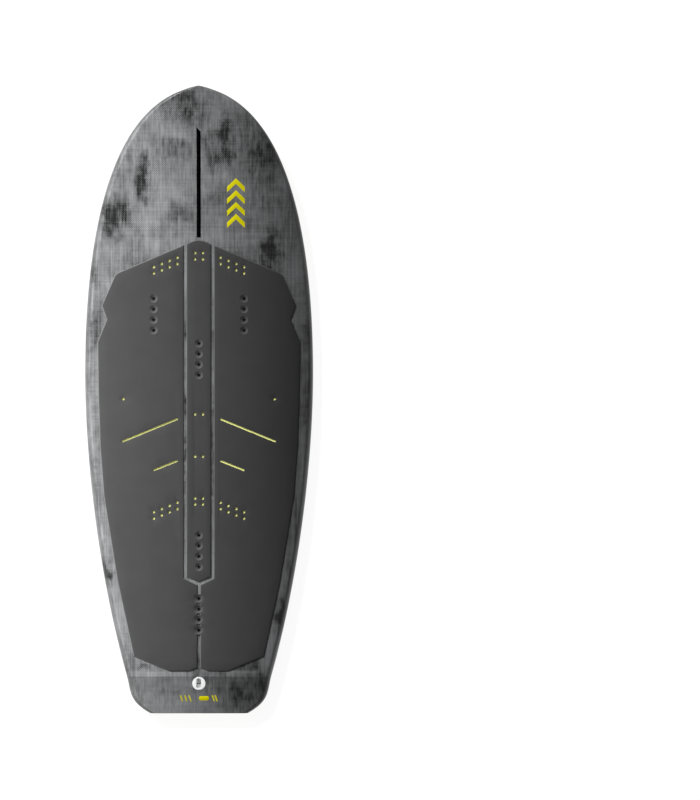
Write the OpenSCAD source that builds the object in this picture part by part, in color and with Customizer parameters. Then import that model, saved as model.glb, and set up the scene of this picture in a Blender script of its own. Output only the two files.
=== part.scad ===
// Directional foil kiteboard, lying deck up.
// The nose points along -Y, the tail along +Y, and the lowest part of the hull is at height 0.
// Left and right are those of a rider who faces the nose, so left is +X.

/* [Board] */
// Length from the nose tip to the tail
board_length = 1485; // [1400:5:1560]
// Width at the widest point
board_width = 541; // [510:1:570]
// Height of the flat part of the deck above the flat part of the hull
board_height = 52; // [48:1:58]
// Thickness of the laminate skins
skin_t = 1.2; // [1:0.1:1.6]
// Drop of the deck from its centre line to the widest rail
deck_crown = 5; // [3:0.5:8]

/* [Rocker] */
// Rise of the hull at the nose tip
nose_rocker = 58; // [50:1:62]
// Rise of the deck at the nose tip
nose_lift = 30; // [26:1:34]
// Rise of the hull at the tail end
tail_kick = 15; // [10:1:20]
// Drop of the deck at the tail end
tail_drop = 11; // [6:1:15]
// Length of the reinforced tail facet
patch_length = 88; // [80:1:96]

/* [Rail] */
// Width of the bevelled band under the rail, where the deck laminate wraps round
rail_band = 25; // [20:1:30]
// Width of the rounded shoulder between the rail and the deck
rail_shoulder = 16; // [12:1:20]

/* [Foil tracks] */
// Distance between the two track slots
track_spacing = 90; // [86:1:94]
// Width of a track slot
slot_w = 10; // [9:0.5:11]
// Width of the channel behind the slot, and of the loading port
channel_w = 15.4; // [15:0.1:16]
// Length of the slot
slot_length = 352; // [340:1:364]
// Lengthwise distance between the front and rear nuts
nut_spacing = 165; // [155:1:175]

/* [Inserts] */
// Distance between neighbouring inserts
insert_pitch = 25; // [24:0.5:26]
// Distance of the outer insert rows from the centre line
insert_side = 107; // [100:1:112]

/* [Pad] */
// Thickness of the lower pad layer
pad_base_t = 1.5; // [1:0.1:2]
// Thickness of the upper pad layer
pad_top_t = 3; // [2:0.1:4]

/* [Hidden] */
$fn = 48;
left = 1;
right = -1;

// Outline as four curves, each a pair [share of half the width, share of the length from the tail].
tail_corner = [[0.43, 0], [0.478, 0.0045], [0.5545, 0.015], [0.5725, 0.0218]];
rear_edge = [[0.5725, 0.0218], [0.862, 0.19], [1, 0.396], [1, 0.542]];
front_edge = [[1, 0.542], [1, 0.745], [0.817, 0.926], [0.266, 0.983]];
nose_tip = [[0.266, 0.983], [0.163, 0.9937], [0.032, 1], [0.012, 1]];

function bezier(p, t) =
    (1 - t) ^ 3 * p[0] + 3 * (1 - t) ^ 2 * t * p[1] + 3 * (1 - t) * t ^ 2 * p[2] + t ^ 3 * p[3];
function curve(p, steps) = [for (i = [0 : steps - 1]) bezier(p, i / steps)];
function scaled(p) = [p[0] * board_width / 2, p[1] * board_length];

outline = [
    for (p = concat(curve(tail_corner, 4), curve(rear_edge, 14), curve(front_edge, 18), curve(nose_tip, 4),
        [nose_tip[3]])) scaled(p)
];
width_table = [for (p = outline) [p[1], p[0]]];

// Half the width of the board at a distance s from the tail.
function half_width(s) = lookup(s, width_table);

// Heights of the hull and of the deck's centre line at a distance s from the tail.
flat_start = 150;
flat_end = 600;
deck_flat_end = 1000;
patch_share = 0.85;
function past(s, start, end) = max(0, (s - start) / (end - start));
function tail_facet(s) = past(-s, -patch_length, 0);
function hull_z(s) =
    nose_rocker * past(s, flat_end, board_length) ^ 2.3
    + tail_kick * (1 - patch_share) * min(1, past(-s, -flat_start, -patch_length)) ^ 2
    + tail_kick * patch_share * tail_facet(s);
function deck_z(s) =
    board_height + nose_lift * past(s, deck_flat_end, board_length) ^ 2 - tail_drop * tail_facet(s);
crown_rate = deck_crown / (board_width / 2) ^ 2;
function deck_at(x, s) = deck_z(s) - crown_rate * x ^ 2;

// Width of the band under the rail: none at the nose tip, full at the middle, about half at the tail.
band_fade = 130;
band_start = 40;
tail_band_share = 0.52;
band_full_at = 550;
function band(s) =
    rail_band * max(0.02, min(
        1 - exp(-(board_length - s - band_start) / band_fade),
        tail_band_share + (1 - tail_band_share) * min(1, s / band_full_at)));

// Right half of a cross-section, from the band's inner edge round the rail to the deck's centre line.
// The section lies inside the board's surface by inset.
rail_steps = 4;
deck_steps = 3;
apex_share = 0.45;
chine = [1.5, 3.5];
function band_edge(s, inset) =
    let (h = half_width(s)) [max(0.3 * h, h - band(s)) - 0.5 * inset, hull_z(s) + inset];
function rail_side(s, inset) =
    let (
        h = half_width(s) - inset,
        apex = hull_z(s) + apex_share * (deck_at(h, s) - hull_z(s)),
        shoulder = min(rail_shoulder, 0.6 * h),
        top = deck_at(h - shoulder, s) - inset
    )
    concat(
        [band_edge(s, inset), [h - min(chine[0], 0.1 * h), apex - chine[1]], [h, apex]],
        [for (i = [1 : rail_steps]) let (a = 90 * i / rail_steps)
            [h - shoulder * (1 - cos(a)), apex + (top - apex) * sin(a)]],
        [for (i = [1 : deck_steps]) let (x = (h - shoulder) * (1 - i / deck_steps))
            [x, deck_at(x, s) - inset]]
    );
function mirrored(points) = [for (i = [len(points) - 2 : -1 : 0]) [-points[i][0], points[i][1]]];
function upper_line(s, inset) = let (right = rail_side(s, inset)) concat(right, mirrored(right));
function hull_line(s, inset) = let (e = band_edge(s, inset)) [[-e[0], e[1]], e];
function reversed(points) = [for (i = [len(points) - 1 : -1 : 0]) points[i]];
function at_station(points, s) = [for (p = points) [p[0], board_length / 2 - s, p[1]]];

// Triangles that close one end of a loft: a fan over a full section, or a strip over a thin-walled one.
function fan_cap(n) = [for (i = [1 : n - 2]) [0, i, i + 1]];
function strip_cap(n) =
    [for (i = [0 : n / 2 - 2]) each [[i, i + 1, n - 2 - i], [i, n - 2 - i, n - 1 - i]]];

// A closed solid through rings that all have the same number of points. From the point flip_from on, a ring
// runs the other way, as inside a thin wall, and its quads are split along their other diagonal, so that the
// inside of a wall fits the outside of the solid that it covers.
module loft(rings, cap, flip_from) {
    n = len(rings[0]);
    last = (len(rings) - 1) * n;
    sides = [
        for (j = [0 : n : last - n]) for (i = [0 : n - 1])
            let (k = (i + 1) % n)
            each i < flip_from
                ? [[j + i, j + n + k, j + k], [j + i, j + n + i, j + n + k]]
                : [[j + i, j + n + i, j + k], [j + k, j + n + i, j + n + k]]
    ];
    polyhedron(
        points = [for (ring = rings) each ring],
        faces = concat(sides, cap, [for (t = cap) [last + t[0], last + t[2], last + t[1]]]),
        convexity = 8);
}

// The whole board between two sets of stations, and the thin walls above and below it.
module solid_board(stations, inset) {
    rings = [for (s = stations) at_station(upper_line(s, inset), s)];
    n = len(rings[0]);
    loft(rings, fan_cap(n), n);
}

module upper_shell(stations) {
    rings = [for (s = stations)
        at_station(concat(upper_line(s, 0), reversed(upper_line(s, skin_t))), s)];
    n = len(rings[0]);
    loft(rings, strip_cap(n), n / 2);
}

module lower_shell(stations) {
    rings = [for (s = stations)
        at_station(concat(hull_line(s, 0), reversed(hull_line(s, skin_t))), s)];
    n = len(rings[0]);
    loft(rings, strip_cap(n), n / 2);
}

// Stations: the transom wall, the tail patch, the main length and the solid nose tip.
transom_t = 3;
tip_share = 0.994;
edge_margin = 4;
stations = [for (p = outline) p[1]];
tail_stations = concat([transom_t],
    [for (s = stations) if (s > transom_t + 1 && s < patch_length - edge_margin) s], [patch_length]);
tip_at = tip_share * board_length;
main_stations = concat(
    [patch_length],
    [for (s = stations) if (s > patch_length + edge_margin && s < flat_start - edge_margin) s],
    [flat_start],
    [for (s = stations) if (s > flat_start + edge_margin && s < tip_at - edge_margin) s],
    [tip_at]);
all_stations = concat(tail_stations, [for (i = [1 : len(main_stations) - 1]) main_stations[i]]);
tip_stations = concat([tip_at], [for (s = stations) if (s > tip_at + 2) s]);

// Foil tracks, measured from the tail. The port is at the tail end of each slot.
slot_start = 183;
slot_end = slot_start + slot_length;
port_length = 20;
lip_t = 5;
channel_h = 7;
track_wall = 5;
track_h = 22;
block_margin = 14;
nut_gap = 0.4;
rear_nut_at = 280;
front_nut_at = rear_nut_at + nut_spacing;
nut_length = 18;
nut_thread_r = 3.4;
boss_z = 2.6;

// Inserts, as [x, distance of the group's centre from the tail].
insert_count = 4;
front_group = 945;
insert_groups = [
    [left * insert_side, front_group], [right * insert_side, front_group], [0, 839], [0, 385], [0, 235]
];
bush_sink = 0.2;
bush_flange_r = 8.5;
bush_flange_t = 2;
bush_fit = 0.05;
bush_r = 6;
bush_length = 19;
thread_r = 2.5;
thread_depth = 16;
block_r = 12;
block_h = 22;
pad_hole_r = 10.5;
function insert_places(group) =
    [for (i = [0 : insert_count - 1])
        [group[0], group[1] + (i - (insert_count - 1) / 2) * insert_pitch]];
all_inserts = [for (g = insert_groups) each insert_places(g)];

// Stringer, and the leash plug on the tail facet.
stringer_w = 10;
web_t = 4;
stringer_front = 1382;
hull_stringer_end = 565;
deck_stringer_end = 1127;
leash_at = 71;
leash_r = 15.5;
leash_h = 18;
leash_slot = [11, 25, 12];
leash_bar_r = 1.6;
leash_bar_z = -4;
leash_wall = 2;
leash_tilt = atan(tail_drop / patch_length);
over = 1;

// Moves children from [x, distance from the tail, z] to their place.
module place(x, s, z) {
    translate([x, board_length / 2 - s, z]) children();
}

// A slot-shaped solid along the board from s0 to s1, round at both ends.
module long_slot(x, s0, s1, w, z0, z1) {
    place(x, 0, z0) {
        translate([0, -s0 - w / 2, 0]) cylinder(d = w, h = z1 - z0);
        translate([0, -s1 + w / 2, 0]) cylinder(d = w, h = z1 - z0);
        translate([-w / 2, -s1 + w / 2, 0]) cube([w, s1 - s0 - w, z1 - z0]);
    }
}

// A square-ended solid along the board from s0 to s1.
module long_box(x, s0, s1, w, z0, z1) {
    place(x - w / 2, s1, z0) cube([w, s1 - s0, z1 - z0]);
}

module track_outside(x) {
    width = channel_w + 2 * track_wall;
    long_slot(x, slot_start - track_wall, slot_end + track_wall, width, skin_t, track_h);
}

module track_outsides() {
    for (side = [left, right]) track_outside(side * track_spacing / 2);
}

// The slot and its loading port, as seen on the hull.
module track_mouth(x) {
    long_slot(x, slot_start, slot_end, slot_w, -over, lip_t + over);
    long_box(x, slot_start, slot_start + port_length, channel_w, -over, lip_t + over);
}

module track_block_outside() {
    long_box(0, slot_start - track_wall - block_margin, slot_end + track_wall + block_margin,
        track_spacing + channel_w + 2 * track_wall + 2 * block_margin,
        skin_t, board_height - deck_crown - skin_t);
}

module track(x) {
    difference() {
        track_outside(x);
        track_mouth(x);
        long_slot(x, slot_start, slot_end, channel_w, lip_t, lip_t + channel_h);
        long_box(x, slot_start, slot_start + port_length, channel_w, lip_t, lip_t + channel_h);
    }
}

// A nut: a plate that runs in the channel, and a boss that guides it in the slot.
module nut(x, s) {
    boss_w = slot_w - 2 * nut_gap;
    plate_w = channel_w - 2 * nut_gap;
    difference() {
        union() {
            long_box(x, s - nut_length / 2, s + nut_length / 2, plate_w,
                lip_t + nut_gap, lip_t + channel_h - nut_gap);
            long_box(x, s - nut_length / 2, s + nut_length / 2, boss_w, boss_z, lip_t + over);
        }
        place(x, s, 0) cylinder(r = nut_thread_r, h = track_h);
    }
}

module insert_block_outside(group) {
    reach = (insert_count - 1) / 2 * insert_pitch + block_r;
    top = deck_at(abs(group[0]) + block_r, group[1]) - skin_t - bush_sink;
    long_slot(group[0], group[1] - reach, group[1] + reach, 2 * block_r, top - block_h, top);
}

module bush_outside(p) {
    top = deck_at(p[0], p[1]) - bush_sink;
    place(p[0], p[1], top - bush_length) cylinder(r = bush_r, h = bush_length - bush_flange_t);
    place(p[0], p[1], top - bush_flange_t) cylinder(r = bush_flange_r, h = bush_flange_t);
}

module bush(p) {
    top = deck_at(p[0], p[1]) - bush_sink;
    difference() {
        bush_outside(p);
        place(p[0], p[1], top - thread_depth) cylinder(r = thread_r, h = thread_depth + over);
    }
}

module bush_group(index) {
    for (p = insert_places(insert_groups[index])) bush(p);
}

module insert_block(index) {
    group = insert_groups[index];
    difference() {
        insert_block_outside(group);
        for (p = insert_places(group)) bush_outside(p);
    }
}

module on_leash_plug() {
    place(0, leash_at, deck_z(leash_at)) rotate([-leash_tilt, 0, 0]) children();
}

module leash_outside() {
    on_leash_plug() translate([0, 0, -leash_h]) cylinder(r = leash_r, h = leash_h);
}

module web_outside() {
    // The web stops short of the track block, and makes way for the insert blocks and their bushes.
    difference() {
        long_box(0, slot_end + block_margin + 2 * track_wall, stringer_front, web_t, 0, 2 * board_height);
        for (g = insert_groups) insert_block_outside(g);
        for (p = all_inserts) bush_outside(p);
    }
}

module foam_core() {
    color("lemonchiffon") difference() {
        solid_board(all_stations, skin_t);
        track_block_outside();
        web_outside();
        for (g = insert_groups) insert_block_outside(g);
        for (p = all_inserts) bush_outside(p);
        leash_outside();
    }
}

module deck_holes() {
    for (p = all_inserts)
        place(p[0], p[1], board_height - 3 * deck_crown)
            cylinder(r = bush_flange_r + bush_fit, h = 4 * deck_crown);
}

module deck_skin() {
    color("darkgray") difference() {
        union() {
            upper_shell(main_stations);
            solid_board(tip_stations, 0);
        }
        deck_holes();
        stringer_plan(deck_stringer_end, left);
    }
}

module hull_skin() {
    color("gold") difference() {
        lower_shell(main_stations);
        for (side = [left, right]) track_mouth(side * track_spacing / 2);
        stringer_plan(hull_stringer_end, right);
    }
}

module deck_tail_patch() {
    color("dimgray") difference() {
        union() {
            upper_shell(tail_stations);
            solid_board([0, transom_t], 0);
        }
        leash_outside();
    }
}

module hull_tail_patch() {
    color("goldenrod") lower_shell(tail_stations);
}

module stringer_web() {
    color("burlywood") intersection() {
        web_outside();
        solid_board(main_stations, skin_t);
    }
}

// Plan of a stringer strip. Its nose end is cut on the slant, and reaches furthest on the side named.
module stringer_plan(back, long_side) {
    half = stringer_w / 2;
    translate([0, board_length / 2 - stringer_front, -over]) linear_extrude(3 * board_height)
        polygon([
            [long_side * half, -half], [-long_side * half, half],
            [-long_side * half, stringer_front - back], [long_side * half, stringer_front - back]
        ]);
}

module deck_stringer_cap() {
    color("black") intersection() {
        stringer_plan(deck_stringer_end, left);
        upper_shell(main_stations);
    }
}

module hull_stringer_cap() {
    color("black") intersection() {
        stringer_plan(hull_stringer_end, right);
        lower_shell(main_stations);
    }
}

module track_block() {
    color("beige") difference() {
        track_block_outside();
        track_outsides();
        for (g = insert_groups) insert_block_outside(g);
        for (p = all_inserts) bush_outside(p);
    }
}

module left_track() {
    color("black") track(left * track_spacing / 2);
}

module right_track() {
    color("black") track(right * track_spacing / 2);
}

module left_front_nut() {
    color("dimgray") nut(left * track_spacing / 2, front_nut_at);
}

module left_rear_nut() {
    color("dimgray") nut(left * track_spacing / 2, rear_nut_at);
}

module right_front_nut() {
    color("dimgray") nut(right * track_spacing / 2, front_nut_at);
}

module right_rear_nut() {
    color("dimgray") nut(right * track_spacing / 2, rear_nut_at);
}

// Pad outlines on the left side, as [x, distance from the tail].
gap_w = 7;
centre_half = 29;
centre_top = 1121;
centre_corner = 1111;
centre_foot = 324;
centre_tip = 312;
side_outline = [
    [centre_half + gap_w, 1109], [191, 1044], [199, 1037], [230, 966], [218, 933], [240, 880],
    [238, 752], [234, 633], [225, 515], [209, 416], [193, 316], [154, 136], [69, 101],
    [24, 101], [gap_w / 2, 109], [gap_w / 2, centre_tip - gap_w],
    [centre_half + gap_w, centre_foot - gap_w / 2]
];
centre_outline = concat(
    [[-centre_half, centre_foot]],
    [for (i = [0 : 6]) let (x = centre_half * (i / 3 - 1))
        [x, centre_top - (centre_top - centre_corner) * (x / centre_half) ^ 2]],
    [[centre_half, centre_foot], [0, centre_tip]]
);

// Rows of small holes that show the lower layer, on the left pad and on the centre pad.
dot_r = 3.3;
dot_step = [18.6, 15];
dot_slant = 7.5;
side_dots_x = 51;
side_dot_rows = [1080, 500];
centre_dot_x = 9.2;
centre_dot_rows = [1091, 1076, 709, 609, 510, 496];
lone_dot = [179, 745];
line_w = 4.6;
pad_lines = [[[50, 698], [182, 644]], [[50, 599], [108, 576]]];
side_dots = concat(
    [for (row = side_dot_rows) for (i = [0 : 3]) for (j = [0 : 1])
        [side_dots_x + i * dot_step[0], row - i * dot_slant - j * dot_step[1]]],
    [lone_dot]);
centre_dots = [for (s = centre_dot_rows) for (side = [-1, 1]) [side * centre_dot_x, s]];

module plan(points) {
    polygon([for (p = points) [p[0], board_length / 2 - p[1]]]);
}

module groove_line(ends) {
    run = ends[1] - ends[0];
    translate([ends[0][0], board_length / 2 - ends[0][1]]) rotate(atan2(-run[1], run[0]))
        translate([0, -line_w / 2]) square([norm(run), line_w]);
}

// A layer that follows the deck between two heights above it.
pad_lift = 0.1;
pad_reach = 0.92;
pad_columns = 12;
pad_stations = [90, 400, 700, 1000, 1040, 1080, 1135];
module deck_layer(low, high) {
    half = pad_reach * board_width / 2;
    columns = [for (i = [0 : pad_columns]) half * (2 * i / pad_columns - 1)];
    rings = [for (s = pad_stations) at_station(concat(
        [for (x = columns) [x, deck_at(x, s) + low]],
        [for (x = reversed(columns)) [x, deck_at(x, s) + high]]), s)];
    n = len(rings[0]);
    loft(rings, strip_cap(n), n / 2);
}

module pad_layer(outline_points, low, high, tone) {
    color(tone) intersection() {
        deck_layer(low, high);
        linear_extrude(3 * board_height) difference() {
            plan(outline_points);
            for (p = all_inserts) translate([p[0], board_length / 2 - p[1]]) circle(pad_hole_r);
            children();
        }
    }
}

module dots(points) {
    for (p = points) translate([p[0], board_length / 2 - p[1]]) circle(dot_r);
}

module left_pad_base() {
    pad_layer(side_outline, pad_lift, pad_base_t, "yellow");
}

module right_pad_base() {
    mirror([1, 0, 0]) left_pad_base();
}

module centre_pad_base() {
    pad_layer(centre_outline, pad_lift, pad_base_t, "yellow");
}

module left_pad_top() {
    pad_layer(side_outline, pad_base_t, pad_base_t + pad_top_t, "dimgray") {
        dots(side_dots);
        for (ends = pad_lines) groove_line(ends);
    }
}

module right_pad_top() {
    mirror([1, 0, 0]) left_pad_top();
}

module centre_pad_top() {
    pad_layer(centre_outline, pad_base_t, pad_base_t + pad_top_t, "dimgray") dots(centre_dots);
}

module leash_cup() {
    color("white") difference() {
        leash_outside();
        on_leash_plug() {
            for (side = [-1, 1]) translate([0, side * (leash_slot[1] - leash_slot[0]) / 2, -leash_slot[2]])
                cylinder(d = leash_slot[0], h = leash_slot[2] + over);
            translate([-leash_slot[0] / 2, (leash_slot[0] - leash_slot[1]) / 2, -leash_slot[2]])
                cube([leash_slot[0], leash_slot[1] - leash_slot[0], leash_slot[2] + over]);
            leash_pin();
        }
    }
}

module leash_pin() {
    translate([leash_wall - leash_r, 0, leash_bar_z]) rotate([0, 90, 0])
        cylinder(r = leash_bar_r, h = 2 * (leash_r - leash_wall));
}

module leash_bar() {
    color("silver") on_leash_plug() leash_pin();
}

module front_left_insert_block() {
    color("gray") insert_block(0);
}

module front_right_insert_block() {
    color("gray") insert_block(1);
}

module front_centre_insert_block() {
    color("gray") insert_block(2);
}

module middle_insert_block() {
    color("gray") insert_block(3);
}

module rear_insert_block() {
    color("gray") insert_block(4);
}

module front_left_bushes() {
    color("black") bush_group(0);
}

module front_right_bushes() {
    color("black") bush_group(1);
}

module front_centre_bushes() {
    color("black") bush_group(2);
}

module middle_bushes() {
    color("black") bush_group(3);
}

module rear_bushes() {
    color("black") bush_group(4);
}

foam_core();
deck_skin();
hull_skin();
deck_tail_patch();
hull_tail_patch();
stringer_web();
deck_stringer_cap();
hull_stringer_cap();
track_block();
left_track();
right_track();
left_front_nut();
left_rear_nut();
right_front_nut();
right_rear_nut();
front_left_insert_block();
front_right_insert_block();
front_centre_insert_block();
middle_insert_block();
rear_insert_block();
front_left_bushes();
front_right_bushes();
front_centre_bushes();
middle_bushes();
rear_bushes();
left_pad_base();
centre_pad_base();
right_pad_base();
left_pad_top();
centre_pad_top();
right_pad_top();
leash_cup();
leash_bar();
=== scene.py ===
import math

import bmesh
import bpy
import numpy as np
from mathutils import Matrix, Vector, geometry
from mathutils.bvhtree import BVHTree


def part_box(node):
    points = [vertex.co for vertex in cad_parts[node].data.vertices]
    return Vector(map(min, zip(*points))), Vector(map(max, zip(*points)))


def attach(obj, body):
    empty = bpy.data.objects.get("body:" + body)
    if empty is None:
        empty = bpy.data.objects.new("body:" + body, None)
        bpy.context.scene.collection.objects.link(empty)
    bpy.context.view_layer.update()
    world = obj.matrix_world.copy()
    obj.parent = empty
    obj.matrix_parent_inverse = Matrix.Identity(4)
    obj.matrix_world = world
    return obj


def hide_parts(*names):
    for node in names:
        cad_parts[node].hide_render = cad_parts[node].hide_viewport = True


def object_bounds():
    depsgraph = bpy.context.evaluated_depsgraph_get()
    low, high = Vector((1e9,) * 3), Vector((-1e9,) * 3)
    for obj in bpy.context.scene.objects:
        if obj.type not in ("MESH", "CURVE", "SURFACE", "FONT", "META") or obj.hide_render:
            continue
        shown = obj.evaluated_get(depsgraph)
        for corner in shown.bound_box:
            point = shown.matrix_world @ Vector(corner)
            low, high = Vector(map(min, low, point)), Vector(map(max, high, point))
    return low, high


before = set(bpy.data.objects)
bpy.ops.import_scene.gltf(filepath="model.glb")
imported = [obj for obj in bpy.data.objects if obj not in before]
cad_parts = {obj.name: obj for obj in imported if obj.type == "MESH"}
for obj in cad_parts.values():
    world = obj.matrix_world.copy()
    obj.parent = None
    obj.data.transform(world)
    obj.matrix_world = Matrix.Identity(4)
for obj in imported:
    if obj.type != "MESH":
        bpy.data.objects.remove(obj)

CAD_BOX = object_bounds()
TAIL_Y = CAD_BOX[1].y
BOARD_HALF = CAD_BOX[1].x
MM = 0.001

# Section of the board. The band of deck laminate beside the hull slopes up to the side, bends there and ends
# at the apex, the widest point. The shoulder rounds the rail from the apex to the deck, which is crowned.
RAIL_SHOULDER = 16 * MM
SHOULDER_LIMIT = 0.6
DECK_CROWN = 5 * MM
BEND_SHARE = 0.88
KNEE_SHARE = 0.72
LAMINATE = 0.9 * MM

# Spacing of the rings along the board, which is a quarter of MAIN_STEP over the nose's length, and of the
# points inside a plate
MAIN_STEP = 9 * MM
NOSE_LENGTH = 40 * MM
TAIL_STEP = 6 * MM
PAD_GRID = 22 * MM
STRIP_GRID = 12 * MM
MARK_GRID = 25 * MM

# Pads. The lower layer runs from PAD_LOW above the deck to a gap below PAD_SPLIT, where the upper one starts.
# It lies inside the lip of the upper one's rim.
PAD_LOW = 0.1 * MM
PAD_SPLIT = 1.5 * MM
PAD_GAP = 0.05 * MM
PAD_LIP = 3.2 * MM
PAD_HOLE_GAP = 0.8 * MM

# Heights between which the deck is drilled and the hull is slotted
DRILL = (20 * MM, 90 * MM)
SLOT = (-10 * MM, 10 * MM)


# ---------------------------------------------------------------- meshes

def new_piece(name, points, faces):
    """A mesh object in the scene, from points and faces."""
    mesh = bpy.data.meshes.new(name)
    mesh.from_pydata([tuple(p) for p in points], [], faces)
    mesh.validate()
    piece = bpy.data.objects.new(name, mesh)
    bpy.context.scene.collection.objects.link(piece)
    return piece


def modified(piece, kind, **settings):
    """Adds a modifier to a piece and applies it at once."""
    modifier = piece.modifiers.new(kind, kind)
    for name, value in settings.items():
        setattr(modifier, name, value)
    graph = bpy.context.evaluated_depsgraph_get()
    mesh = bpy.data.meshes.new_from_object(piece.evaluated_get(graph))
    piece.modifiers.clear()
    piece.data = mesh
    return piece


def joined(name, pieces):
    """One piece from several, which are removed."""
    bm = bmesh.new()
    for piece in pieces:
        bm.from_mesh(piece.data)
        bpy.data.objects.remove(piece)
    made = new_piece(name, [], [])
    bm.to_mesh(made.data)
    bm.free()
    return made


def smooth(piece, degrees=35):
    """Smooth shading, with a sharp edge where two faces meet at more than that angle."""
    piece.data.shade_smooth()
    piece.data.set_sharp_from_angle(angle=math.radians(degrees))
    return piece


def finished(piece, body, slot, material, *nodes):
    """Gives a piece its material, its body and the CAD nodes that it stands for. slot is not used."""
    piece.data.materials.clear()
    piece.data.materials.append(material)
    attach(piece, body)
    if nodes:
        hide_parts(*nodes)


def cad_points(node):
    """The corners of a CAD node."""
    return np.array([v.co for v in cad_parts[node].data.vertices])


def welded(node):
    """A bmesh copy of a CAD node with its split corners joined."""
    bm = bmesh.new()
    bm.from_mesh(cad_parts[node].data)
    bmesh.ops.remove_doubles(bm, verts=bm.verts, dist=1e-6)
    bmesh.ops.dissolve_degenerate(bm, edges=bm.edges, dist=1e-7)
    return bm


def islands(node):
    """The lowest and highest corner of each separate solid of a CAD node."""
    bm = welded(node)
    left, found = set(bm.verts), []
    while left:
        group, edge = set(), {left.pop()}
        while edge:
            group |= edge
            edge = {e.other_vert(v) for v in edge for e in v.link_edges} - group
        left -= group
        co = np.array([v.co for v in group])
        found.append((Vector(co.min(0)), Vector(co.max(0))))
    bm.free()
    return found


# A face looks up or down if its normal's height is more than this
FACING = 0.7


def face_loops(node, facing):
    """Outlines in plan of the faces of a CAD node that look up (1) or down (-1). The outline comes first and
    runs anticlockwise. The holes follow and run clockwise."""
    bm = welded(node)
    chosen = {f for f in bm.faces if f.normal.z * facing > FACING}
    ahead = {}
    for face in chosen:
        for corner in face.loops:
            if sum(f in chosen for f in corner.edge.link_faces) == 1:
                ahead[corner.vert] = corner.link_loop_next.vert
    loops = []
    while ahead:
        start, vert = next(iter(ahead.items()))
        del ahead[start]
        loop = [start.co.xy.copy()]
        while vert in ahead:
            loop.append(vert.co.xy.copy())
            vert = ahead.pop(vert)
        loops.append(np.array(loop))
    bm.free()
    loops.sort(key=lambda p: -np.ptp(p, axis=0).sum())
    return [turned(clean(p), 1 if i == 0 else -1) for i, p in enumerate(loops)]


def clean(loop):
    """The loop without points that repeat the one before."""
    step = np.linalg.norm(np.roll(loop, -1, axis=0) - loop, axis=1)
    return loop[step > 1e-5]


def turned(loop, way):
    """The loop, run anticlockwise for way 1 and clockwise for way -1."""
    ahead = np.roll(loop, -1, axis=0)
    area = (loop[:, 0] * ahead[:, 1] - loop[:, 1] * ahead[:, 0]).sum()
    return loop if area * way > 0 else loop[::-1]


def offset(loop, distance):
    """The loop moved to the left of its direction, which is into the material."""
    ahead = np.roll(loop, -1, axis=0) - loop
    ahead /= np.linalg.norm(ahead, axis=1)[:, None]
    left = np.stack([-ahead[:, 1], ahead[:, 0]], axis=1)
    both = left + np.roll(left, 1, axis=0)
    mitre = both * np.minimum(2 / np.maximum((both ** 2).sum(axis=1), 1e-9), 2)[:, None]
    return loop + mitre * np.broadcast_to(distance, len(loop))[:, None]


def inside(points, loops):
    """For each point, whether it lies between the outer loop and the holes."""
    odd = np.zeros(len(points), bool)
    for loop in loops:
        a, b = loop, np.roll(loop, -1, axis=0)
        y, px = points[:, 1, None], points[:, 0, None]
        cross = (a[:, 1] > y) != (b[:, 1] > y)
        rise = np.where(b[:, 1] == a[:, 1], 1e-12, b[:, 1] - a[:, 1])
        at = a[:, 0] + (y - a[:, 1]) / rise * (b[:, 0] - a[:, 0])
        odd ^= (cross & (px < at)).sum(axis=1) % 2 == 1
    return odd


def clear_of(points, loops, gap):
    """For each point, whether it is further than gap from every loop's line."""
    nearest = np.full(len(points), 1e9)
    for loop in loops:
        a, run = loop, np.roll(loop, -1, axis=0) - loop
        to = points[:, None] - a
        share = np.clip((to * run).sum(axis=2) / (run ** 2).sum(axis=1), 0, 1)
        away = np.linalg.norm(to - share[..., None] * run, axis=2)
        nearest = np.minimum(nearest, away.min(axis=1))
    return nearest > gap


# Points inside a plate keep this share of their spacing from its edges
GRID_MARGIN = 0.35


def fill(loops, spacing):
    """Triangles over the area between loops. Returns the points, the loops' own first, and the triangles."""
    border = np.concatenate(loops)
    low, high = border.min(axis=0), border.max(axis=0)
    across, along = (np.arange(low[k] + spacing / 2, high[k], spacing) for k in (0, 1))
    grid = np.array([[x, y] for x in across for y in along]).reshape(-1, 2)
    if len(grid):
        grid = grid[inside(grid, loops)]
    if len(grid):
        grid = grid[clear_of(grid, loops, GRID_MARGIN * spacing)]
    points = np.concatenate([border, grid])
    edges, first = [], 0
    for loop in loops:
        edges += [(first + i, first + (i + 1) % len(loop)) for i in range(len(loop))]
        first += len(loop)
    made = geometry.delaunay_2d_cdt([Vector(p) for p in points], edges, [], 0, 1e-8)
    triangles = np.array([[made[3][v][0] for v in face] for face in made[2]])
    keep = inside(points[triangles].mean(axis=1), loops)
    return points, triangles[keep]


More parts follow.
